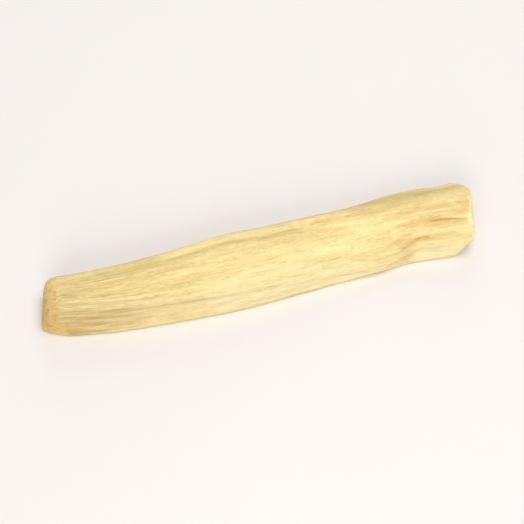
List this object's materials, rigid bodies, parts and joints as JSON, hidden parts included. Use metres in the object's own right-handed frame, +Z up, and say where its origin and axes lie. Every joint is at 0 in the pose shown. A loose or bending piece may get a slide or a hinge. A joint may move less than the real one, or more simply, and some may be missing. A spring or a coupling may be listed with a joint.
{
  "type": "palo santo stick",
  "caption": "Short split stick of pale aromatic wood, five-sided and slightly bowed, sawn across at both ends, lying flat on its underside.",
  "frame": {"origin": "in the plane of the flat underside, below the centre of the stick's box", "axes": "+X along the grain towards the end with the crack, +Y across the stick towards its thicker edge, +Z up from the underside"},
  "size_m": [0.1031, 0.0178, 0.0098],
  "materials": {
    "palo_santo_wood": "raw split wood, pale cream yellow with a dry satin sheen, fine grain along its length and rougher honey-toned end grain"
  },
  "bodies": {
    "root": {"stick": "palo_santo_wood"}
  },
  "joints": []
}
